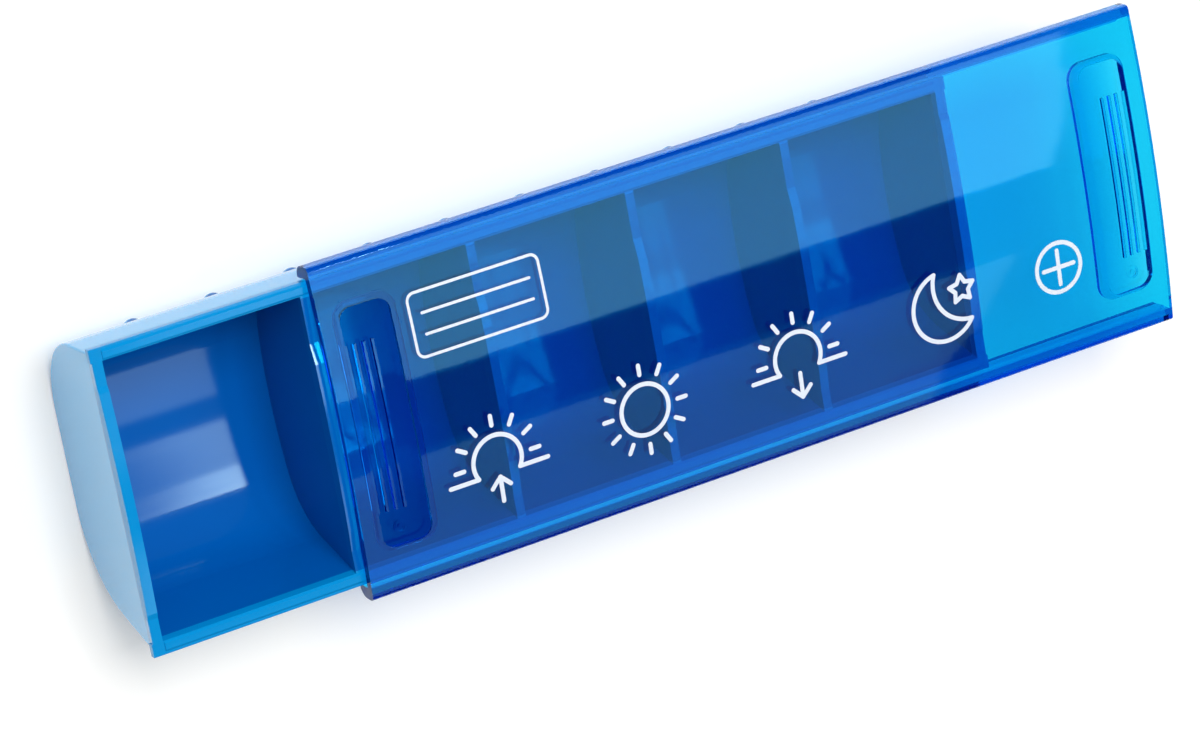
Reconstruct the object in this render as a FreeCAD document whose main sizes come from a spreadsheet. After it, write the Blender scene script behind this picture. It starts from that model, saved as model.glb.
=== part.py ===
import FreeCAD, Part
import math
import os
import re

import Sketcher

# Daily pill organizer: a tray of five compartments and a clear cover that slides along its rims.
# The origin is on the tray's flat underside, midway between its ends and its rims. X runs along the tray towards the side that the
# cover is slid to, Y towards the steep back wall and Z up. Lengths are in millimetres, angles in degrees.

os.makedirs("parts", exist_ok=True)
doc = FreeCAD.newDocument("pill_organizer")

SIZES = (
    ("tray_length", 149.6, "tray over its ends"),
    ("tray_width", 49.4, "tray over its two rims"),
    ("tray_height", 22.2, "underside to the top of the rims"),
    ("wall", 1.45, "long walls, measured level"),
    ("floor", 1.35, "floor, about its thinnest"),
    ("end_wall", 1.9, "end walls"),
    ("end_inset", 0.2, "end wall's face behind the ends of the rims"),
    ("end_lean", 0.8, "end faces' lean"),
    ("end_round", 0.35, "rounding along the edge of an end face"),
    ("front_lean", 16.6, "front wall's lean"),
    ("back_lean", 2.6, "back wall's lean"),
    ("front_round", 15.5, "outer rounding from front wall to underside"),
    ("back_round", 13.4, "outer rounding from back wall to underside"),
    ("floor_radius", 60.0, "sweep of the compartments' floor across the tray"),
    ("front_rise", 3.35, "floor's rise to where it would meet the front wall"),
    ("back_rise", 3.15, "floor's rise to where it would meet the back wall"),
    ("front_hollow", 12.0, "inner rounding from the floor to the front wall"),
    ("back_hollow", 11.0, "inner rounding from the floor to the back wall"),
    ("partition", 1.5, "partitions"),
    ("first_cell", 32.75, "inside length of the first compartment"),
    ("cell", 26.5, "inside length of the three middle compartments"),
    ("rim_overhang", 0.7, "rim beyond the wall below it"),
    ("rim_depth", 1.1, "rim from top to underside"),
    ("bead_width", 1.7, "raised runner's foot on a rim"),
    ("bead_slope", 0.35, "raised runner's sloping sides"),
    ("bead_height", 0.2, "raised runner above the rim"),
    ("bead_setback", 0.4, "rim's outer edge to the runner"),
    ("bead_end", 0.15, "end wall's inner face to the runner's end"),
    ("crown_back", 14.9, "partition crown's end on the back side, from the middle"),
    ("crown_front", 18.9, "partition crown's end on the front side, from the middle"),
    ("crown_ramp", 3.2, "ramp at the ends of a partition's crown"),
    ("end_crown", 18.7, "end wall crown's ends, from the middle"),
    ("end_crown_ramp", 0.9, "ramp at the ends of an end wall's crown"),
    ("stud_radius", 1.6, "round stud on the bend below the back wall"),
    ("stud_height", 0.9, "stud above the bend"),
    ("stud_level", 6.0, "studs above the underside"),
    ("stud_first", 13.35, "tray's end to the first stud"),
    ("stud_pitch", 13.45, "stud to stud"),
    ("stud_count", 10, "studs in the row"),
    ("side_gap", 0.4, "running clearance beside the rims"),
    ("top_gap", 0.15, "running clearance over the runners"),
    ("lip_gap", 0.2, "running clearance under the rims"),
    ("rail_wall", 2.0, "cover's side rails"),
    ("lip_play", 0.3, "running clearance between the lips and the walls"),
    ("lip", 1.3, "lips under the tray's rims, top to bottom"),
    ("plate_edge", 1.25, "cover's plate beside the rails"),
    ("camber", 1.57, "arch of the cover's top over its width"),
    ("under_camber", 1.5, "arch of the cover's underside between the rails"),
    ("end_reveal", 0.35, "tray's end beyond the closed cover"),
    ("top_round", 0.8, "rails' upper outer edge"),
    ("foot_round", 2.0, "rails' lower outer edge"),
    ("lead_in", 1.3, "cut at the lips' inner corners, along"),
    ("opened_by", 35.55, "how far the cover is slid from closed"),
    ("cover_play", 0.15, "how far the cover sits towards the front in its play"),
    ("grip_setback", 3.2, "cover's end to the finger grip"),
    ("grip_width", 8.55, "finger grip along the cover"),
    ("grip_length", 39.1, "finger grip across the cover"),
    ("grip_depth", 1.05, "finger grip's depth at its outer side"),
    ("grip_floor", 1.0, "plate left under the finger grip's deepest line"),
    ("grip_round", 2.2, "finger grip's corners"),
    ("grip_slope", 0.095, "rise of the finger grip's floor towards the inner side, per length"),
    ("grip_draft", 0.3, "lean of the finger grip's long sides"),
    ("bulge_end", 0.6, "bulge under the grip, beyond it towards the cover's end"),
    ("bulge_inner", 1.35, "bulge under the grip, beyond it on the inner side"),
    ("bulge_side", 0.7, "bulge under the grip, beyond it across"),
    ("rib_count", 4, "ribs in a finger grip"),
    ("rib_first", 0.35, "grip's outer side to the first rib's middle"),
    ("rib_pitch", 1.45, "rib to rib"),
    ("rib_base", 0.62, "rib's foot"),
    ("rib_top", 0.42, "rib's top"),
    ("rib_height", 0.45, "rib above the grip's floor"),
    ("rib_length", 27.4, "ribs across the cover"),
    ("gate_radius", 1.1, "moulding mark in the grip's floor"),
    ("gate_line", 0.28, "ring of the moulding mark"),
    ("gate_dot", 0.42, "middle of the moulding mark"),
    ("gate_relief", 0.15, "moulding mark above the floor"),
    ("gate_along", 3.45, "grip's outer side to the moulding mark"),
    ("gate_across", 16.6, "cover's middle line to the moulding mark"),
    ("crown_gap", 0.15, "running clearance between a crown and the bulge over it"),
    ("ink", 0.08, "print's thickness"),
    ("stroke", 0.72, "print's line"),
    ("symbol_line", 15.8, "cover's front side to the middles of the symbols"),
    ("disc_radius", 4.18, "ring of the sun and of the plus"),
    ("ray_from", 5.85, "inner end of a ray"),
    ("ray_to", 7.35, "outer end of a ray"),
    ("horizon_drop", 2.1, "horizon below the sun's middle"),
    ("horizon_reach", 8.55, "half the horizon's length"),
    ("arrow_top", 2.75, "arrow's upper end below the sun's middle"),
    ("arrow_length", 4.05, "arrow"),
    ("arrow_head", 1.6, "arrow head's reach each way"),
    ("sunrise_at", 24.2, "cover's left end to the sunrise"),
    ("sun_at", 50.45, "cover's left end to the sun"),
    ("sunset_at", 78.4, "cover's left end to the sunset"),
    ("moon_at", 106.0, "cover's left end to the moon's outer circle"),
    ("plus_at", 128.0, "cover's left end to the plus"),
    ("plus_arm", 2.9, "arms of the plus"),
    ("moon_radius", 5.85, "moon's outer circle"),
    ("moon_bite", 6.6, "circle that hollows the moon"),
    ("moon_bite_along", 4.9, "hollowing circle's middle, along from the moon's"),
    ("moon_bite_across", 3.25, "hollowing circle's middle, across from the moon's"),
    ("star_along", 3.5, "star's middle, along from the moon's"),
    ("star_across", 2.0, "star's middle, across from the moon's"),
    ("star_tip", 2.35, "star's tips"),
    ("star_notch", 1.25, "star's notches"),
    ("field_at", 14.6, "cover's left end to the name field"),
    ("field_length", 22.6, "name field along the cover"),
    ("field_width", 10.2, "name field across the cover"),
    ("field_line", 13.6, "cover's back side to the name field's middle"),
    ("field_round", 1.3, "name field's corners"),
    ("field_stroke", 0.45, "lines of the name field"),
    ("field_margin", 2.0, "ruled lines inside the name field"),
    ("cut_margin", 1.0, "how far a cutting shape reaches past what it cuts"),
)

sheet = doc.addObject("Spreadsheet::Sheet", "sizes")
for row, (alias, value, note) in enumerate(SIZES, start=1):
    sheet.set(f"A{row}", alias)
    sheet.set(f"B{row}", str(value))
    sheet.setAlias(f"B{row}", alias)
    sheet.set(f"C{row}", note)
doc.recompute()
ALIASES = re.compile(r"\b(" + "|".join(alias for alias, _, _ in SIZES) + r")\b")

# Places that several pieces share, as expressions in the sheet's aliases
WALL_HALF = "(tray_width / 2 - rim_overhang)"
RIM_INNER = "(tray_width / 2 - rim_overhang - wall)"
FRONT_FOOT = f"({WALL_HALF} - tray_height * tan(front_lean))"
BACK_FOOT = f"({WALL_HALF} - tray_height * tan(back_lean))"
FRONT_FLOOR = (f"({RIM_INNER} - (tray_height - floor - front_rise) * tan(front_lean))", "(floor + front_rise)")
BACK_FLOOR = (f"({RIM_INNER} - (tray_height - floor - back_rise) * tan(back_lean))", "(floor + back_rise)")
CHANNEL_HALF = "(tray_width / 2 + side_gap)"
COVER_HALF = f"({CHANNEL_HALF} + rail_wall)"
COVER_LENGTH = "(tray_length - 2 * end_reveal)"
PLATE_UNDER = "(tray_height + bead_height + top_gap)"
PLATE_TOP = f"({PLATE_UNDER} + plate_edge)"
LIP_TOP = "(tray_height - rim_depth - lip_gap)"
LIP_BOTTOM = f"({LIP_TOP} - lip)"
LIP_HALF = "(tray_width / 2 - rim_overhang + lip_play)"
TOP_RADIUS = f"(({COVER_HALF} ^ 2 + camber ^ 2) / (2 * camber))"
UNDER_RADIUS = f"(({CHANNEL_HALF} ^ 2 + under_camber ^ 2) / (2 * under_camber))"
ARCH_LEVEL = f"({PLATE_TOP} + camber - {TOP_RADIUS})"
CROWN_RADIUS = f"({TOP_RADIUS} - grip_depth - grip_floor - crown_gap)"


def bound(text):
    """The expression with each alias named in full, as the document's objects read it."""
    return ALIASES.sub(r"sizes.\1", text)


def number(text):
    """The expression's value now."""
    return float(sheet.evalExpression(bound(text)))


def new_body(name):
    """An empty body for one padded or revolved shape."""
    return doc.addObject("PartDesign::Body", name)


def new_sketch(body, role, name, out="0", up="0"):
    """A sketch on one of the body's own planes, moved out along its normal and up along its Y."""
    sketch = body.newObject("Sketcher::SketchObject", name)
    plane = next(feature for feature in body.Origin.OriginFeatures if feature.Role == role)
    sketch.AttachmentSupport = [(plane, "")]
    sketch.MapMode = "FlatFace"
    sketch.setExpression("AttachmentOffset.Base.z", bound(out))
    sketch.setExpression("AttachmentOffset.Base.y", bound(up))
    return sketch


def fix(sketch, geometry, end, across, up):
    """Ties one end of a sketch line to its place from the sketch's origin."""
    for kind, text, axis in (("DistanceX", across, -2), ("DistanceY", up, -1)):
        if text == "0":
            sketch.addConstraint(Sketcher.Constraint("PointOnObject", geometry, end, axis))
            continue
        index = sketch.addConstraint(Sketcher.Constraint(kind, -1, 1, geometry, end, number(text)))
        sketch.setExpression(f"Constraints[{index}]", bound(text))


def outline(sketch, corners, arches=()):
    """A closed outline through the corners, each two expressions, across and up.

    arches gives, for the number of a corner, the radius of the upward arch that starts there, with "sag" before
    it where the arch hangs down.
    """
    places = [FreeCAD.Vector(number(across), number(up), 0) for across, up in corners]
    first = sketch.GeometryCount
    starts = []
    for index, place in enumerate(places):
        following = places[(index + 1) % len(places)]
        if index not in dict(arches):
            sketch.addGeometry(Part.LineSegment(place, following), False)
            starts.append((1, 2))
            continue
        text = dict(arches)[index]
        radius = number(text.removeprefix("sag "))
        middle = (place + following) / 2
        half = (following - place).Length / 2
        rise = radius - math.sqrt(radius ** 2 - half ** 2)
        normal = FreeCAD.Vector(-(following - place).y, (following - place).x, 0).normalize()
        if (normal.y < 0) != text.startswith("sag "):
            normal = -normal
        sketch.addGeometry(Part.Arc(place, middle + normal * rise, following), False)
        runs_back = sketch.getPoint(first + index, 1).distanceToPoint(place) > half
        starts.append((2, 1) if runs_back else (1, 2))
    for index, (across, up) in enumerate(corners):
        following = (index + 1) % len(corners)
        sketch.addConstraint(Sketcher.Constraint(
            "Coincident", first + index, starts[index][1], first + following, starts[following][0]))
        fix(sketch, first + index, starts[index][0], across, up)
    for index, text in arches:
        radius = text.removeprefix("sag ")
        place = sketch.addConstraint(Sketcher.Constraint("Radius", first + index, number(radius)))
        sketch.setExpression(f"Constraints[{place}]", bound(radius))


def rectangle(sketch, left, right, low, high):
    """A closed rectangle between four expressions."""
    outline(sketch, ((left, low), (right, low), (right, high), (left, high)))


def pad(body, sketch, length, middle=True):
    """The sketch's outlines made solid, to both sides of the sketch or out along its normal."""
    feature = body.newObject("PartDesign::Pad", sketch.Name + "_pad")
    feature.Profile = sketch
    feature.Midplane = middle
    feature.setExpression("Length", bound(length))
    doc.recompute()
    return feature


def cut(body, sketch, length):
    """The sketch's outlines cut out of the body, to both sides of the sketch."""
    before = body.Shape.Volume
    feature = body.newObject("PartDesign::Pocket", sketch.Name + "_cut")
    feature.Profile = sketch
    feature.Midplane = True
    feature.setExpression("Length", bound(length))
    doc.recompute()
    if body.Shape.Volume >= before:
        raise RuntimeError(f"{feature.Name} cuts nothing")
    return feature


def round_edges(body, name, chosen, radius):
    """Rounds the edges of the body that the test picks."""
    base = body.Tip
    edges = [f"Edge{index}" for index, edge in enumerate(base.Shape.Edges, start=1) if chosen(edge)]
    feature = body.newObject("PartDesign::Fillet", name)
    feature.Base = (base, edges)
    feature.setExpression("Radius", bound(radius))
    doc.recompute()
    return feature


def runs_along_x(edge, across, up):
    """Whether the edge runs along X at this place in Y and Z."""
    ends = [vertex.Point for vertex in edge.Vertexes]
    place = FreeCAD.Vector(0, number(across), number(up))
    return len(ends) == 2 and all(math.hypot(end.y - place.y, end.z - place.z) < 1e-4 for end in ends)


def stands_upright(edge):
    """Whether the edge is a straight one along Z."""
    ends = [vertex.Point for vertex in edge.Vertexes]
    return len(ends) == 2 and math.hypot(ends[0].x - ends[1].x, ends[0].y - ends[1].y) < 1e-6


def combine(kind, name, pieces):
    """One solid from several: MultiFuse joins, MultiCommon keeps what they share."""
    feature = doc.addObject(f"Part::{kind}", name)
    feature.Shapes = pieces
    doc.recompute()
    return feature


def subtract(name, base, tool):
    """The base with the tool's shape taken out."""
    feature = doc.addObject("Part::Cut", name)
    feature.Base = base
    feature.Tool = tool
    doc.recompute()
    return feature


# Tray: a trough with leaning walls, closed by end walls and split into five compartments

def lean_ends(body, name, reach, level):
    """Cuts both ends of a trough to the lean of the end faces, from full length at the rims' level."""
    sketch = new_sketch(body, "XZ_Plane", name)
    for side in ("", "-"):
        outline(sketch, (
            (f"{side}{reach}", "tray_height"),
            (f"{side}({reach} - (tray_height - {level} + cut_margin) * tan(end_lean))", f"{level} - cut_margin"),
            (f"{side}({reach} + cut_margin)", f"{level} - cut_margin"),
        ))
    cut(body, sketch, "tray_width + 2 * cut_margin")


def on_end_face(edge):
    """Whether the edge lies on a leaning end face, below the rims."""
    reach = number("tray_length / 2 - end_inset")
    slope = number("tan(end_lean)")
    height = number("tray_height")
    ends = [vertex.Point for vertex in edge.Vertexes]
    on_face = all(abs(abs(end.x) - reach + (height - end.z) * slope) < 1e-4 for end in ends)
    return on_face and min(end.z for end in ends) < height - 1e-4


def trough(name, length, half, front, back, top, arches=()):
    """The trough's cross-section between two wall faces and a floor, run along the tray."""
    body = new_body(name)
    sketch = new_sketch(body, "YZ_Plane", name + "_section")
    rise = f"({top} - tray_height)"
    outline(sketch, (
        (f"-({half} + {rise} * tan(front_lean))", top),
        (f"-{front[0]}", front[1]),
        (f"{back[0]}", back[1]),
        (f"{half} + {rise} * tan(back_lean)", top),
    ), arches)
    pad(body, sketch, length)
    return body


def make_tray_shell():
    """The trough's outside with its rims, runners and the crowned tops of its cross walls."""
    body = trough("tray_shell", "tray_length - 2 * end_inset", WALL_HALF, (FRONT_FOOT, "0"), (BACK_FOOT, "0"),
                  "tray_height")
    round_edges(body, "front_bend", lambda edge: runs_along_x(edge, f"-{FRONT_FOOT}", "0"), "front_round")
    round_edges(body, "back_bend", lambda edge: runs_along_x(edge, BACK_FOOT, "0"), "back_round")
    lean_ends(body, "end_faces", "(tray_length / 2 - end_inset)", "0")
    round_edges(body, "end_edges", on_end_face, "end_round")

    rims = new_sketch(body, "YZ_Plane", "rims")
    rectangle(rims, RIM_INNER, "tray_width / 2", "tray_height - rim_depth", "tray_height")
    rectangle(rims, "-tray_width / 2", f"-{RIM_INNER}", "tray_height - rim_depth", "tray_height")
    pad(body, rims, "tray_length")

    beads = new_sketch(body, "YZ_Plane", "runners")
    outer = "(tray_width / 2 - bead_setback)"
    low = "tray_height - rim_depth / 2"
    high = "tray_height + bead_height"
    for side in ("", "-"):
        outline(beads, (
            (f"{side}{outer}", low),
            (f"{side}{outer}", "tray_height"),
            (f"{side}({outer} - bead_slope)", high),
            (f"{side}({outer} - bead_width + bead_slope)", high),
            (f"{side}({outer} - bead_width)", "tray_height"),
            (f"{side}({outer} - bead_width)", low),
        ))
    pad(body, beads, "tray_length - 2 * (end_wall + bead_end)")
    return body


def cell_edges():
    """The two ends of each compartment along X, left to right, as expressions from the tray's middle."""
    edges = []
    left = "(-tray_length / 2 + end_wall)"
    for length in ("first_cell", "cell", "cell", "cell"):
        right = f"({left} + {length})"
        edges.append((left, right))
        left = f"({right} + partition)"
    edges.append((left, "(tray_length / 2 - end_wall)"))
    return edges


def crown(name, middle, thickness, front, back, ramp):
    """The arched top of one cross wall, which follows the underside of the cover's grips."""
    body = new_body(name)
    sketch = new_sketch(body, "YZ_Plane", name + "_side", out=middle)
    arch = f"{ARCH_LEVEL} + sqrt({CROWN_RADIUS} ^ 2 - "
    outline(sketch, (
        (f"-{front}", "tray_height - rim_depth"),
        (f"-{front}", "tray_height"),
        (f"-({front} - {ramp})", f"{arch}({front} - {ramp}) ^ 2)"),
        (f"{back} - {ramp}", f"{arch}({back} - {ramp}) ^ 2)"),
        (back, "tray_height"),
        (back, "tray_height - rim_depth"),
    ), arches=((2, CROWN_RADIUS),))
    pad(body, sketch, thickness)
    return body


def make_crowns(cells):
    """A crown on each partition and on each end wall."""
    crowns = []
    for index, (_, right) in enumerate(cells[:-1], start=1):
        middle = f"{right} + partition / 2"
        crowns.append(crown(f"crown_{index}", middle, "partition", "crown_front", "crown_back", "crown_ramp"))
    for name, side in (("left", "-"), ("right", "")):
        middle = f"{side}(tray_length - end_inset - end_wall) / 2"
        crowns.append(crown(f"crown_{name}", middle, "end_wall - end_inset", "end_crown", "end_crown",
                            "end_crown_ramp"))
    return crowns


def make_studs():
    """A row of low round studs on the bend between the back wall and the underside."""
    radius = "(stud_radius ^ 2 + stud_height ^ 2) / (2 * stud_height)"
    bend_middle = f"({BACK_FOOT} - back_round * tan(45 - back_lean / 2))"
    out = f"(back_round + stud_height - {radius})"
    drop = "((back_round - stud_level) / back_round)"
    studs = []
    for index in range(int(number("stud_count"))):
        stud = doc.addObject("Part::Sphere", f"stud_{index + 1}")
        stud.setExpression("Radius", bound(radius))
        stud.setExpression("Placement.Base.x", bound(f"-tray_length / 2 + stud_first + {index} * stud_pitch"))
        stud.setExpression("Placement.Base.y", bound(f"{bend_middle} + {out} * sqrt(1 - {drop} ^ 2)"))
        stud.setExpression("Placement.Base.z", bound(f"back_round - {out} * {drop}"))
        studs.append(stud)
    return studs


def make_cavity(cells):
    """The room inside the trough, split where the partitions stand."""
    top = "(tray_height + cut_margin)"
    body = trough("cavity", "tray_length - 2 * end_wall", RIM_INNER, FRONT_FLOOR, BACK_FLOOR, top,
                  ((1, "sag floor_radius"),))
    round_edges(body, "front_hollows", lambda edge: runs_along_x(edge, f"-{FRONT_FLOOR[0]}", FRONT_FLOOR[1]),
                "front_hollow")
    round_edges(body, "back_hollows", lambda edge: runs_along_x(edge, *BACK_FLOOR), "back_hollow")
    lean_ends(body, "end_hollows", "(tray_length / 2 - end_wall)", "floor")
    walls = []
    for index, (_, right) in enumerate(cells[:-1], start=1):
        box = doc.addObject("Part::Box", f"partition_{index}")
        box.setExpression("Length", bound("partition"))
        box.setExpression("Width", bound("tray_width"))
        box.setExpression("Height", bound("tray_height + 2 * cut_margin"))
        box.setExpression("Placement.Base.x", bound(right))
        box.setExpression("Placement.Base.y", bound("-tray_width / 2"))
        walls.append(box)
    return subtract("compartments", body, combine("MultiFuse", "partitions", walls))


def make_tray():
    """The tray as one moulding."""
    cells = cell_edges()
    solid = combine("MultiFuse", "tray_solid", [make_tray_shell()] + make_crowns(cells) + make_studs())
    tray = subtract("tray", solid, make_cavity(cells))
    tray.Refine = True
    return tray


# Cover: an arched plate with rails that hook under the rims, in its own frame until it is slid into place

def lead_ins(body):
    """Cuts the lips' inner corners at both ends, so that the cover finds its way under the rims."""
    sketch = new_sketch(body, "XY_Plane", "lip_corners", out=f"{LIP_BOTTOM} + lip / 2")
    end = f"({COVER_LENGTH} / 2)"
    for x_side in ("", "-"):
        for y_side in ("", "-"):
            outline(sketch, (
                (f"{x_side}({end} - lead_in)", f"{y_side}{LIP_HALF}"),
                (f"{x_side}({end} + cut_margin)", f"{y_side}{LIP_HALF}"),
                (f"{x_side}({end} + cut_margin)", f"{y_side}({LIP_HALF} + rim_overhang)"),
                (f"{x_side}{end}", f"{y_side}({LIP_HALF} + rim_overhang)"),
            ))
    return cut(body, sketch, "lip + 2 * lip_gap")


def make_channel():
    """The plate, its rails and their lips."""
    body = new_body("channel")
    section = new_sketch(body, "YZ_Plane", "channel_section")
    outline(section, (
        (f"-{COVER_HALF}", LIP_BOTTOM),
        (f"-{COVER_HALF}", PLATE_TOP),
        (COVER_HALF, PLATE_TOP),
        (COVER_HALF, LIP_BOTTOM),
        (LIP_HALF, LIP_BOTTOM),
        (LIP_HALF, LIP_TOP),
        (CHANNEL_HALF, LIP_TOP),
        (CHANNEL_HALF, PLATE_UNDER),
        (f"-{CHANNEL_HALF}", PLATE_UNDER),
        (f"-{CHANNEL_HALF}", LIP_TOP),
        (f"-{LIP_HALF}", LIP_TOP),
        (f"-{LIP_HALF}", LIP_BOTTOM),
    ), arches=((1, TOP_RADIUS), (7, UNDER_RADIUS)))
    pad(body, section, COVER_LENGTH)

    def rail_edge(edge, level):
        return runs_along_x(edge, COVER_HALF, level) or runs_along_x(edge, f"-{COVER_HALF}", level)

    round_edges(body, "rail_tops", lambda edge: rail_edge(edge, PLATE_TOP), "top_round")
    round_edges(body, "rail_feet", lambda edge: rail_edge(edge, LIP_BOTTOM), "foot_round")
    lead_ins(body)
    return body


def rounded_block(name, left, right, half, radius):
    """An upright block through the cover's plate, with rounded corners."""
    body = new_body(name)
    sketch = new_sketch(body, "XY_Plane", name + "_plan", out=PLATE_TOP)
    rectangle(sketch, left, right, f"-{half}", half)
    pad(body, sketch, "4 * (camber + plate_edge + grip_floor)")
    round_edges(body, name + "_corners", stands_upright, radius)
    return body


def arched_band(name, profiles, span):
    """Profiles at given depths below the cover's arched top, swung about the arch's axis over a span."""
    body = new_body(name)
    sketch = new_sketch(body, "XZ_Plane", name + "_profile", up=ARCH_LEVEL)
    for profile in profiles:
        outline(sketch, [(along, f"{TOP_RADIUS} - ({depth})") for along, depth in profile])
    feature = body.newObject("PartDesign::Revolution", name + "_swing")
    feature.Profile = sketch
    feature.ReferenceAxis = (sketch, ["H_Axis"])
    feature.Midplane = True
    feature.setExpression("Angle", bound(f"2 * asin(({span}) / 2 / {TOP_RADIUS})"))
    doc.recompute()
    return body


def mirrored(source, name):
    """The same shape at the cover's other end."""
    feature = doc.addObject("Part::Mirroring", name)
    feature.Source = source
    feature.Normal = (1, 0, 0)
    doc.recompute()
    return feature


GRIP_OUTER = f"(-{COVER_LENGTH} / 2 + grip_setback)"
GRIP_INNER = f"({GRIP_OUTER} + grip_width)"


def make_bulge():
    """The plate's bulge below a finger grip."""
    left = f"({GRIP_OUTER} - bulge_end)"
    right = f"({GRIP_INNER} + bulge_inner)"
    depth = "grip_depth + grip_floor"
    band = arched_band("bulge_band", [(
        (left, "plate_edge / 2"), (right, "plate_edge / 2"), (right, depth), (left, depth),
    )], "grip_length + 4 * bulge_side")
    half = "(grip_length / 2 + bulge_side)"
    return combine("MultiCommon", "bulge", [band, rounded_block("bulge_block", left, right, half,
                                                                "grip_round + bulge_side")])


def make_recess():
    """The finger grip's hollow: deepest at its outer side, with a floor that rises steadily to the inner side."""
    band = arched_band("recess_band", [(
        (GRIP_OUTER, "-cut_margin"),
        (GRIP_OUTER, "0.001 * grip_depth"),
        (f"{GRIP_OUTER} + grip_draft", "grip_depth"),
        (f"{GRIP_INNER} - grip_draft / 2", "grip_depth - grip_slope * (grip_width - 1.5 * grip_draft)"),
        (GRIP_INNER, "0.001 * grip_depth"),
        (GRIP_INNER, "-cut_margin"),
    )], "grip_length + 4 * bulge_side")
    return combine("MultiCommon", "recess", [band, rounded_block("recess_block", GRIP_OUTER, GRIP_INNER,
                                                                 "(grip_length / 2)", "grip_round")])


def make_ribs():
    """The ribs on the finger grip's floor."""
    profiles = []
    for index in range(int(number("rib_count"))):
        middle = f"{GRIP_OUTER} + rib_first + {index} * rib_pitch"
        floor_depth = f"grip_depth - grip_slope * (rib_first + {index} * rib_pitch - grip_draft)"
        sunk = f"{floor_depth} + grip_floor / 2"
        proud = f"{floor_depth} - rib_height"
        profiles.append((
            (f"{middle} - rib_base / 2", sunk), (f"{middle} + rib_base / 2", sunk),
            (f"{middle} + rib_top / 2", proud), (f"{middle} - rib_top / 2", proud),
        ))
    return arched_band("grip_ribs", profiles, "rib_length")


def upright_cylinder(name, radius, height, low):
    """A cylinder at the moulding mark's place."""
    cylinder = doc.addObject("Part::Cylinder", name)
    cylinder.setExpression("Radius", bound(radius))
    cylinder.setExpression("Height", bound(height))
    cylinder.setExpression("Placement.Base.x", bound(f"{GRIP_OUTER} + gate_along"))
    cylinder.setExpression("Placement.Base.y", bound("-gate_across"))
    cylinder.setExpression("Placement.Base.z", bound(low))
    return cylinder


def make_gate_mark():
    """The round mark that the moulding leaves in the finger grip's floor: a ring and a dot."""
    floor_depth = "(grip_depth - grip_slope * (gate_along - grip_draft))"
    floor_level = f"({ARCH_LEVEL} + sqrt(({TOP_RADIUS} - {floor_depth}) ^ 2 - gate_across ^ 2))"
    low = f"{floor_level} - grip_floor / 2"
    height = "grip_floor / 2 + gate_relief"
    disc = upright_cylinder("gate_disc", "gate_radius", height, low)
    bore = upright_cylinder("gate_bore", "gate_radius - gate_line", height, low)
    dot = upright_cylinder("gate_dot_disc", "gate_dot", height, low)
    return combine("MultiFuse", "gate_mark", [subtract("gate_ring", disc, bore), dot])


def slide(feature):
    """Moves the cover, or a print on it, to where it lies on the tray."""
    feature.setExpression("Placement.Base.x", bound("opened_by"))
    feature.setExpression("Placement.Base.y", bound("-cover_play"))


def make_cover():
    """The cover as one moulding, slid open by one compartment."""
    bulge = make_bulge()
    recess = make_recess()
    plate = combine("MultiFuse", "plate", [make_channel(), bulge, mirrored(bulge, "bulge_right")])
    hollows = combine("MultiFuse", "recesses", [recess, mirrored(recess, "recess_right")])
    ribs = make_ribs()
    mark = make_gate_mark()
    cover = combine("MultiFuse", "sliding_cover", [
        subtract("hollowed_plate", plate, hollows),
        ribs, mirrored(ribs, "ribs_right"), mark, mirrored(mark, "gate_mark_right"),
    ])
    cover.Refine = True
    slide(cover)
    return cover


# Prints: white ink on the cover's top, each drawn in plan as strokes with round ends and laid on the arch

SYMBOL_LINE = f"(symbol_line - {COVER_HALF})"
FIELD_LINE = f"({COVER_HALF} - field_line)"


def plan(along, across):
    """A point in plan from the cover's left end and its middle line."""
    return FreeCAD.Vector(along - number(f"{COVER_LENGTH} / 2"), across, number(PLATE_UNDER))


def reach():
    """A height that takes a stroke from below the cover's top to above it."""
    return number("2 * (plate_edge + camber) + cut_margin")


def disc(middle, radius):
    """An upright cylinder."""
    return Part.makeCylinder(radius, reach(), middle)


def bar(start, end, width):
    """A straight stroke with round ends."""
    run = end - start
    length = math.hypot(run.x, run.y)
    box = Part.makeBox(length, width, reach(), FreeCAD.Vector(0, -width / 2, 0))
    box.rotate(FreeCAD.Vector(0, 0, 0), FreeCAD.Vector(0, 0, 1), math.degrees(math.atan2(run.y, run.x)))
    box.translate(start)
    return box.multiFuse([disc(start, width / 2), disc(end, width / 2)])


def polyline(points, width, closed=False):
    """Straight strokes from point to point."""
    ends = points[1:] + points[:1] if closed else points[1:]
    return [bar(start, end, width) for start, end in zip(points, ends)]


def bend(middle, radius, start, sweep, width):
    """A round stroke from one angle through a sweep, anticlockwise, in degrees."""
    up = FreeCAD.Vector(0, 0, 1)
    band = Part.makeCylinder(radius + width / 2, reach(), middle, up, sweep).cut(disc(middle, radius - width / 2))
    band.rotate(middle, up, start)
    tips = [middle + polar(radius, start), middle + polar(radius, start + sweep)]
    return band if sweep == 360 else band.multiFuse([disc(tip, width / 2) for tip in tips])


def polar(radius, angle):
    """The step in plan by a length at an angle in degrees."""
    return FreeCAD.Vector(radius * math.cos(math.radians(angle)), radius * math.sin(math.radians(angle)), 0)


def rays(middle, first, last, step=30):
    """The sun's rays from one angle to another."""
    near = number("ray_from")
    far = number("ray_to")
    width = number("stroke")
    return [bar(middle + polar(near, angle), middle + polar(far, angle), width)
            for angle in range(first, last + 1, step)]


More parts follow.
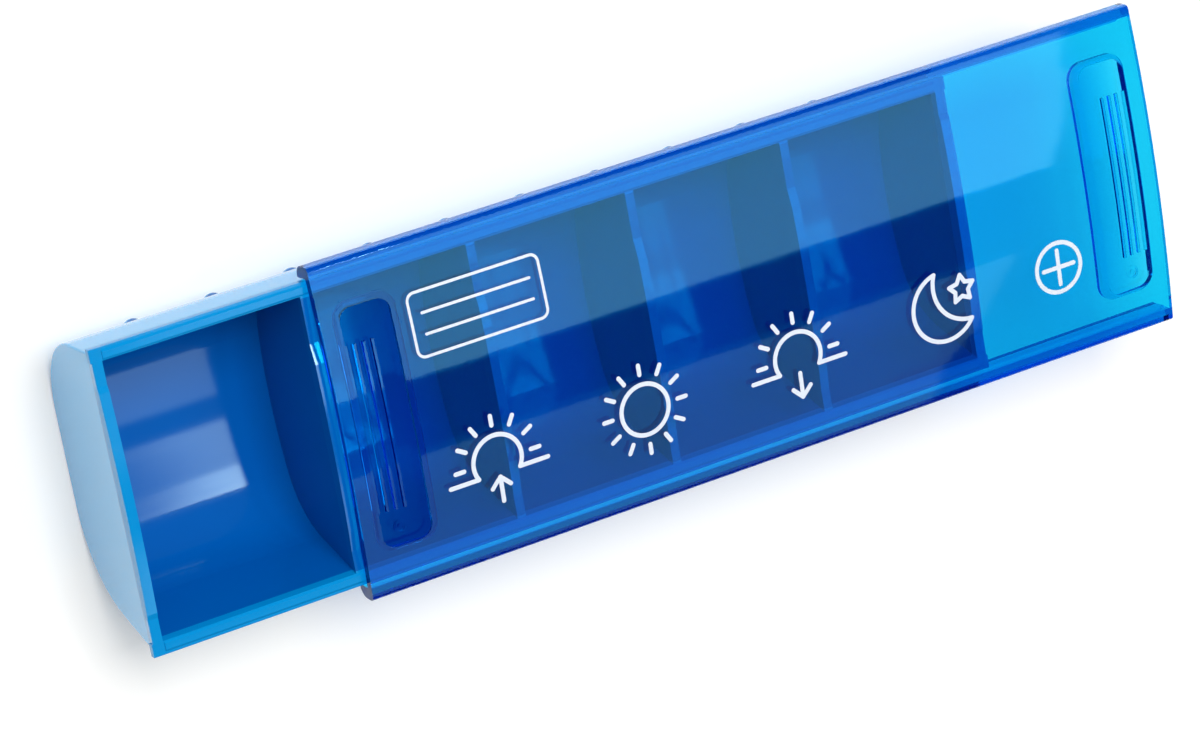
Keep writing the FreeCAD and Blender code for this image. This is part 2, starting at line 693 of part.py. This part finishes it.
def lay_print(name, strokes):
    """Keeps of the strokes what lies in the ink's thickness on the cover's arched top."""
    axis = FreeCAD.Vector(1, 0, 0)
    start = FreeCAD.Vector(-number(COVER_LENGTH) / 2, 0, number(ARCH_LEVEL))
    radius = number(TOP_RADIUS)
    skin = Part.makeCylinder(radius + number("ink"), number(COVER_LENGTH), start, axis).cut(
        Part.makeCylinder(radius, number(COVER_LENGTH), start, axis))
    feature = doc.addObject("Part::Feature", name)
    joined = strokes[0].multiFuse(strokes[1:]) if len(strokes) > 1 else strokes[0]
    feature.Shape = joined.common(skin).removeSplitter()
    slide(feature)
    return feature


def half_sun(along, arrow_up):
    """A sun on the horizon with an arrow below it, for sunrise or sunset."""
    width = number("stroke")
    radius = number("disc_radius")
    middle = plan(along, number(SYMBOL_LINE))
    dip = math.degrees(math.asin(number("horizon_drop") / radius))
    horizon = -number("horizon_drop")
    inner = radius * math.cos(math.radians(dip))
    outer = number("horizon_reach")
    strokes = [bend(middle, radius, -dip, 180 + 2 * dip, width)] + rays(middle, 0, 180)
    for side in (-1, 1):
        strokes.append(bar(middle + FreeCAD.Vector(side * inner, horizon, 0),
                           middle + FreeCAD.Vector(side * outer, horizon, 0), width))
    top = middle + FreeCAD.Vector(0, -number("arrow_top"), 0)
    foot = top + FreeCAD.Vector(0, -number("arrow_length"), 0)
    tip, back = (top, -1) if arrow_up else (foot, 1)
    head = number("arrow_head")
    barbs = [tip + FreeCAD.Vector(side * head, back * head, 0) for side in (-1, 1)]
    return strokes + [bar(top, foot, width), bar(tip, barbs[0], width), bar(tip, barbs[1], width)]


def full_sun():
    """A ring with twelve rays."""
    middle = plan(number("sun_at"), number(SYMBOL_LINE))
    return [bend(middle, number("disc_radius"), 0, 360, number("stroke"))] + rays(middle, 0, 330)


def plus():
    """A plus in a ring."""
    middle = plan(number("plus_at"), number(SYMBOL_LINE))
    arm = number("plus_arm")
    width = number("stroke")
    ring = bend(middle, number("disc_radius"), 0, 360, width)
    bars = [bar(middle - step, middle + step, width) for step in (FreeCAD.Vector(arm, 0, 0), FreeCAD.Vector(0, arm, 0))]
    return [ring] + bars


def moon_and_star():
    """A crescent between two circles, drawn as a line, and a small star in its lap."""
    width = number("stroke")
    middle = plan(number("moon_at"), number(SYMBOL_LINE))
    shift = FreeCAD.Vector(number("moon_bite_along"), number("moon_bite_across"), 0)
    outer = number("moon_radius")
    inner = number("moon_bite")
    apart = shift.Length
    bearing = math.degrees(math.atan2(shift.y, shift.x))
    open_half = math.degrees(math.acos((outer ** 2 - inner ** 2 + apart ** 2) / (2 * outer * apart)))
    bite_half = math.degrees(math.acos((inner ** 2 - outer ** 2 + apart ** 2) / (2 * inner * apart)))
    back = bend(middle, outer, bearing + open_half, 360 - 2 * open_half, width)
    lap = bend(middle + shift, inner, bearing + 180 - bite_half, 2 * bite_half, width)
    star = middle + FreeCAD.Vector(number("star_along"), number("star_across"), 0)
    tips = [polar(number("star_tip"), 90 + 72 * index) for index in range(5)]
    notches = [polar(number("star_notch"), 126 + 72 * index) for index in range(5)]
    corners = [star + corner for pair in zip(tips, notches) for corner in pair]
    return [back, lap] + polyline(corners, width, closed=True)


def name_field():
    """A rounded frame with two ruled lines, to write a name in."""
    width = number("field_stroke")
    corner = number("field_round")
    left = number("field_at")
    right = left + number("field_length")
    low = number(f"{FIELD_LINE} - field_width / 2")
    high = low + number("field_width")
    strokes = []
    turns = ((right, high, -1, -1, 0), (left, high, 1, -1, 90), (left, low, 1, 1, 180), (right, low, -1, 1, 270))
    for along, across, x_step, y_step, start in turns:
        middle = plan(along + x_step * corner, across + y_step * corner)
        strokes.append(bend(middle, corner, start, 90, width))
    for across in (low, high):
        strokes.append(bar(plan(left + corner, across), plan(right - corner, across), width))
    for along in (left, right):
        strokes.append(bar(plan(along, low + corner), plan(along, high - corner), width))
    margin = number("field_margin")
    for share in (1 / 3, 2 / 3):
        across = low + share * (high - low)
        strokes.append(bar(plan(left + margin, across), plan(right - margin, across), width))
    return strokes


def make_prints():
    """The five symbols and the name field, each a print of its own."""
    return [
        lay_print("sunrise_print", half_sun(number("sunrise_at"), arrow_up=True)),
        lay_print("sun_print", full_sun()),
        lay_print("sunset_print", half_sun(number("sunset_at"), arrow_up=False)),
        lay_print("moon_star_print", moon_and_star()),
        lay_print("plus_print", plus()),
        lay_print("name_field_print", name_field()),
    ]


nodes = [make_tray(), make_cover()] + make_prints()
doc.recompute()
for item in doc.Objects:
    if "Invalid" in item.State or "Error" in item.State:
        raise RuntimeError(f"{item.Name} failed: {item.State}")
for node in nodes:
    node.Label = node.Name
    if node.Shape.isNull() or not node.Shape.isValid():
        raise RuntimeError(f"{node.Label} has no valid shape")
for node in nodes:
    node.Shape.exportStep(f"parts/{node.Label}.step")
    box = node.Shape.BoundBox
    print(node.Label, len(node.Shape.Solids), "solids", round(node.Shape.Volume, 2), "mm3,",
          [round(value, 2) for value in (box.XMin, box.XMax, box.YMin, box.YMax, box.ZMin, box.ZMax)])
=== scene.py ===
"""A daily pill organizer: a blue moulded tray of five cells under a clear blue cover that slides along it."""

import math

import bpy
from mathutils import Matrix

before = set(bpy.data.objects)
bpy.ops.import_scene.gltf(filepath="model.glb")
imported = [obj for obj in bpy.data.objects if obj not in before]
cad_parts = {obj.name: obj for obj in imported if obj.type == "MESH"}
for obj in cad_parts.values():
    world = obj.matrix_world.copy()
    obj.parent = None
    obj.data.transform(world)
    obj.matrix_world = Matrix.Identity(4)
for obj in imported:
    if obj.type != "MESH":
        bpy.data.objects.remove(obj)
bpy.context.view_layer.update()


# The view and the studio. The camera stands high behind the left end with a long lens. Two soft boxes beyond
# the right end are mirrored in the gloss, with a dark gap between them, and strips brighten the rear one
# towards the back in steps. The main light, behind the object, shows in no gloss, and the room is even.
FOCAL_LENGTH = 151.42
SENSOR_WIDTH = 36.0
CAMERA_PLACE = (-0.30831, 0.24158, 0.69784)
CAMERA_TURN = (-13.3044, -27.8241, -11.2185)

lens = bpy.data.cameras.new("camera")
lens.lens = FOCAL_LENGTH
lens.sensor_width = SENSOR_WIDTH
lens.clip_start = 0.01
camera = bpy.data.objects.new("camera", lens)
camera.location = CAMERA_PLACE
camera.rotation_euler = [math.radians(angle) for angle in CAMERA_TURN]
bpy.context.scene.collection.objects.link(camera)
bpy.context.scene.camera = camera
bpy.context.scene.view_settings.view_transform = "Standard"

BOX_HEIGHT = 1.0
BOX_NEAR, BOX_FAR = 0.28, 0.66
BACK_BOX_FRONT, BACK_BOX_BACK = -0.284, 0.16
FRONT_BOX_FRONT, FRONT_BOX_BACK = -1.0, -0.43
STRIP_FAR = 0.36
STRIP_STEP = 0.01
STRIPS = (("back_box_middle", -0.04, 3.6), ("back_box_edge", 0.05, 6.5), ("back_box_rim", 0.12, 12.0))


def soft_box(name, low, high, height, radiance):
    """A flat lamp facing down over the rectangle from low to high, equally bright from everywhere below."""
    lamp = bpy.data.lights.new(name, "AREA")
    lamp.shape = "RECTANGLE"
    lamp.size, lamp.size_y = high[0] - low[0], high[1] - low[1]
    lamp.energy = radiance * math.pi * lamp.size * lamp.size_y
    placed = bpy.data.objects.new(name, lamp)
    placed.location = ((low[0] + high[0]) / 2, (low[1] + high[1]) / 2, height)
    bpy.context.scene.collection.objects.link(placed)
    return placed


soft_box("back_box", (BOX_NEAR, BACK_BOX_FRONT), (BOX_FAR, BACK_BOX_BACK), BOX_HEIGHT, 2.3)
for layer, (name, strip_front, radiance) in enumerate(STRIPS, start=1):
    strip_height = BOX_HEIGHT - layer * STRIP_STEP
    soft_box(name, (BOX_NEAR, strip_front), (STRIP_FAR, BACK_BOX_BACK), strip_height, radiance)
soft_box("front_box", (BOX_NEAR, FRONT_BOX_FRONT), (BOX_FAR, FRONT_BOX_BACK), BOX_HEIGHT, 0.95)
main_light = soft_box("main_light", (-0.4, 0.2), (0.2, 0.8), BOX_HEIGHT, 10.0)
main_light.visible_glossy = False
main_light.visible_transmission = False


class Wire:
    """A socket of a shader tree. Sums and products of wires and numbers add Math nodes to the tree."""

    def __init__(self, tree, socket=None):
        self.tree, self.socket = tree, socket

    def node(self, kind, settings=None, sockets=None, out=0):
        """A new node of that kind: its settings first, then a value or a link for each socket."""
        made = self.tree.nodes.new(kind)
        for name, value in (settings or {}).items():
            if name == "stops":
                ramp = made.color_ramp.elements
                while len(ramp) < len(value):
                    ramp.new(0.5)
                for element, (place, colour) in zip(ramp, value):
                    element.position, element.color = place, (*colour, 1.0)
            else:
                setattr(made, name, value)
        for name, value in (sockets or {}).items():
            if isinstance(value, Wire):
                self.tree.links.new(value.socket, made.inputs[name])
            else:
                made.inputs[name].default_value = value
        return Wire(self.tree, made.outputs[out] if len(made.outputs) else None)

    def other(self, name):
        """Another output of the same node."""
        return Wire(self.tree, self.socket.node.outputs[name])

    def maths(self, operation, a, b=0.0):
        """A Math node on one or two wires or numbers."""
        return self.node("ShaderNodeMath", {"operation": operation}, {0: a, 1: b})

    def mixed(self, share, first, second):
        """A colour between the first and the second, by share."""
        return self.node("ShaderNodeMix", {"data_type": "RGBA"}, {0: share, 6: first, 7: second}, 2)

    def __add__(self, other):
        return self.maths("ADD", self, other)

    def __sub__(self, other):
        return self.maths("SUBTRACT", self, other)

    def __rsub__(self, other):
        return self.maths("SUBTRACT", other, self)

    def __mul__(self, other):
        return self.maths("MULTIPLY", self, other)

    __radd__, __rmul__ = __add__, __mul__


WHITE = (1.0, 1.0, 1.0, 1.0)
ROOM_LIGHT = 0.27
ROOM_IN_GLOSS = 0.05
ROOM_INSIDE_PLASTIC = 0.7

room = bpy.data.worlds.new("room")
room.use_nodes = True
room.node_tree.nodes.clear()
air = Wire(room.node_tree)
path = air.node("ShaderNodeLightPath")
glossy_ray = path.other("Is Glossy Ray")
seen = air.maths("MINIMUM", path.other("Is Camera Ray") + path.other("Is Transmission Ray"), 1.0)
inside = air.maths("GREATER_THAN", path.other("Transmission Depth"), 0.5)
gloss = inside * ROOM_INSIDE_PLASTIC + (1.0 - inside) * ROOM_IN_GLOSS
strength = seen + (1.0 - seen) * (glossy_ray * gloss + (1.0 - glossy_ray) * ROOM_LIGHT)
sky = air.node("ShaderNodeBackground", None, {"Color": WHITE, "Strength": strength})
air.node("ShaderNodeOutputWorld", None, {"Surface": sky})
bpy.context.scene.world = room


# The table top. A seamless sheet of slightly warm white paper. It shows as white from the camera, and it
# keeps the soft shadow of the tray.
TABLE_REACH = 3.0
PAPER_COLOUR = (0.81, 0.80, 0.77, 1.0)
PAPER_GLOW = 0.27
PAPER_GLOW_THROUGH_COVER = 0.25


def material(name):
    """An empty node material and the wire that starts its tree."""
    made = bpy.data.materials.new(name)
    made.use_nodes = True
    made.node_tree.nodes.clear()
    return made, Wire(made.node_tree)


corners = [(x * TABLE_REACH, y * TABLE_REACH, 0) for x, y in ((-1, -1), (1, -1), (1, 1), (-1, 1))]
floor_mesh = bpy.data.meshes.new("table_top")
floor_mesh.from_pydata(corners, [], [(0, 1, 2, 3)])
table_top = bpy.data.objects.new("table_top", floor_mesh)
bpy.context.scene.collection.objects.link(table_top)

paper, p = material("white_paper")
path = p.node("ShaderNodeLightPath")
through = path.other("Is Transmission Ray")
seen = p.maths("MAXIMUM", path.other("Is Camera Ray"), path.other("Is Glossy Ray")) * (1.0 - through)
glow_strength = seen * PAPER_GLOW + through * PAPER_GLOW_THROUGH_COVER
sheet = p.node("ShaderNodeBsdfDiffuse", None, {"Color": PAPER_COLOUR})
glow = p.node("ShaderNodeEmission", None, {"Color": WHITE, "Strength": glow_strength})
both = p.node("ShaderNodeAddShader", None, {0: sheet, 1: glow})
p.node("ShaderNodeOutputMaterial", None, {"Surface": both})
floor_mesh.materials.append(paper)


# The tray. One moulding in opaque mid blue plastic, with faint flow marks and very fine rubbing. The outside
# has a finer polish, and a paler blue is painted on it as painted light from the bright room around it, while
# the cells keep the plain deeper blue. Light that gets into the free-standing rims is painted too: the rims
# get a paler blue as a painted glow, and the crowns of the partitions share a little of that.
TRAY_BLUE = (0.0, 0.115, 0.47, 1.0)
TRAY_DEEP = (0.0, 0.10, 0.44, 1.0)
# Painted glow: the paler blue of the rims and crowns, standing in for light that passes into the thin walls.
PAINTED_RIM_GLOW_BLUE = (0.0, 0.28, 0.68, 1.0)
# Painted light: the paler blue of the outside faces, standing in for the bright room that lights them.
PAINTED_LIT_OUTSIDE_BLUE = (0.0, 0.42, 0.90, 1.0)
RIM_FROM_MIDDLE = 0.0222
END_FROM_MIDDLE = 0.0727
FREE_ABOVE = 0.0208
CROWN_GLOW_SHARE = 0.1
RIM_GLOW_SHARE = 0.9
OUTSIDE_TILT = -0.005
POLISH = 0.05
FLOW_DULLS = 0.04
RUBBING_DULLS = 0.05

tray_plastic, t = material("blue_tray_plastic")
texture = t.node("ShaderNodeTexCoord")
place = texture.other("Object")
flow = t.node("ShaderNodeTexNoise", None, {"Vector": place, "Scale": 60.0, "Detail": 3.0, "Distortion": 0.6})
stretched = t.node("ShaderNodeMapping", None, {"Vector": place, "Scale": (90.0, 2200.0, 900.0)})
rubbing = t.node("ShaderNodeTexNoise", None, {"Vector": stretched, "Scale": 1.0, "Detail": 2.0})
skin = t.node("ShaderNodeTexNoise", None, {"Vector": place, "Scale": 1400.0, "Detail": 2.0})
at = t.node("ShaderNodeSeparateXYZ", None, {"Vector": place})
along, across = t.maths("ABSOLUTE", at), t.maths("ABSOLUTE", at.other("Y"))
beside = t.maths("GREATER_THAN", across, RIM_FROM_MIDDLE)
at_end = t.maths("GREATER_THAN", along, END_FROM_MIDDLE)
edge = t.maths("MAXIMUM", beside, at_end)
# Painted glow above the cells: full on the rims and end walls, a little on the partition crowns.
painted_rim_glow = t.maths("GREATER_THAN", at.other("Z"), FREE_ABOVE) * (CROWN_GLOW_SHARE + edge * RIM_GLOW_SHARE)
facing = t.node("ShaderNodeSeparateXYZ", None, {"Vector": texture.other("Normal")})
# Faces that point downwards and outwards: they get the polish coat and the painted light of the paler outside
# blue.
outside_polish_and_painted_light = t.maths("LESS_THAN", facing.other("Z"), OUTSIDE_TILT)
walls = t.mixed(outside_polish_and_painted_light, t.mixed(flow, TRAY_BLUE, TRAY_DEEP), PAINTED_LIT_OUTSIDE_BLUE)
colour = t.mixed(painted_rim_glow, walls, PAINTED_RIM_GLOW_BLUE)
dull = POLISH + flow * FLOW_DULLS + rubbing * RUBBING_DULLS
relief = skin * 0.7 + rubbing * 0.3
bump = t.node("ShaderNodeBump", None, {"Strength": 0.12, "Distance": 0.00002, "Height": relief})
plastic = t.node(
    "ShaderNodeBsdfPrincipled",
    None,
    {
        "Base Color": colour,
        "Roughness": dull,
        "Normal": bump,
        "IOR": 1.8,
        "Specular Tint": (0.6, 0.9, 1.0, 1.0),
        "Coat Weight": outside_polish_and_painted_light * 0.6,
        "Coat Roughness": 0.03,
    },
)
t.node("ShaderNodeOutputMaterial", None, {"Surface": plastic})
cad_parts["tray"].material_slots[0].material = tray_plastic


# The sliding cover. One clear moulding in transparent blue plastic, polished all over. Its colour is in its
# depth, so the thin plate is bright cyan and the thick rails and edges are darker blue. Where a ray stays
# trapped in it by total reflection past the third bounce, the plastic glows a dim blue: a painted glow that
# stands in for light scattered inside it.
BLACK = (0.0, 0.0, 0.0, 1.0)
# Painted glow: a dim blue emission where rays stay trapped, standing in for light scattered inside the
# plastic.
PAINTED_GLOW_BLUE = (0.0, 0.03, 0.12, 1.0)
TRAPPED_AFTER = 3.5
SHADOW_BLUE = (0.55, 0.75, 0.90, 1.0)
DEPTH_COLOUR = (0.0, 0.885, 0.976, 1.0)
DEPTH_DENSITY = 3300.0
HAZE = 0.015
RUBBED_HAZE = 0.03

clear_blue, c = material("clear_blue_plastic")
place = c.node("ShaderNodeTexCoord").other("Object")
ripple = c.node("ShaderNodeTexNoise", None, {"Vector": place, "Scale": 90.0, "Detail": 2.0})
stretched = c.node("ShaderNodeMapping", None, {"Vector": place, "Scale": (70.0, 2600.0, 900.0)})
rubbing = c.node("ShaderNodeTexNoise", None, {"Vector": stretched, "Scale": 1.0, "Detail": 2.0})
path = c.node("ShaderNodeLightPath")
# Rays past the third bounce inside the cover: there the plastic gets its painted glow.
trapped_glow = c.maths("GREATER_THAN", path.other("Ray Depth"), TRAPPED_AFTER)
bump = c.node("ShaderNodeBump", None, {"Strength": 0.15, "Distance": 0.00005, "Height": ripple})
glass = c.node(
    "ShaderNodeBsdfPrincipled",
    None,
    {
        "Base Color": WHITE,
        "Roughness": HAZE + rubbing * RUBBED_HAZE,
        "Normal": bump,
        "IOR": 1.5,
        "Transmission Weight": 1.0,
        "Specular Tint": (0.3, 0.97, 1.0, 1.0),
        "Emission Color": c.mixed(trapped_glow, BLACK, PAINTED_GLOW_BLUE),
        "Emission Strength": 1.0,
    },
)
passing = c.node("ShaderNodeBsdfTransparent", None, {"Color": SHADOW_BLUE})
lamp_ray = c.maths("MAXIMUM", path.other("Is Shadow Ray"), path.other("Is Diffuse Ray"))
surface = c.node("ShaderNodeMixShader", None, {0: lamp_ray, 1: glass, 2: passing})
body = c.node("ShaderNodeVolumeAbsorption", None, {"Color": DEPTH_COLOUR, "Density": DEPTH_DENSITY})
c.node("ShaderNodeOutputMaterial", None, {"Surface": surface, "Volume": body})
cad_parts["sliding_cover"].material_slots[0].material = clear_blue


# The symbols and the name field. White pad-printing ink on the cover's polished top, a film a few hundredths
# of a millimetre thick, matt, with the faint mottle that the pad leaves.
INK_SHADE = (0.72, 0.80, 0.92)
INK_LIGHT = (0.82, 0.88, 0.97)
PRINTS = ("sunrise_print", "sun_print", "sunset_print", "moon_star_print", "plus_print", "name_field_print")

white_ink, w = material("white_ink")
place = w.node("ShaderNodeTexCoord").other("Object")
mottle = w.node("ShaderNodeTexNoise", None, {"Vector": place, "Scale": 1500.0, "Detail": 3.0})
tone = w.node("ShaderNodeValToRGB", {"stops": [(0.3, INK_SHADE), (0.7, INK_LIGHT)]}, {"Fac": mottle})
matt = 0.35 + mottle * 0.2
bump = w.node("ShaderNodeBump", None, {"Strength": 0.2, "Distance": 0.00002, "Height": mottle})
ink = w.node("ShaderNodeBsdfPrincipled", None, {"Base Color": tone, "Roughness": matt, "Normal": bump})
w.node("ShaderNodeOutputMaterial", None, {"Surface": ink})
for name in PRINTS:
    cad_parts[name].material_slots[0].material = white_ink
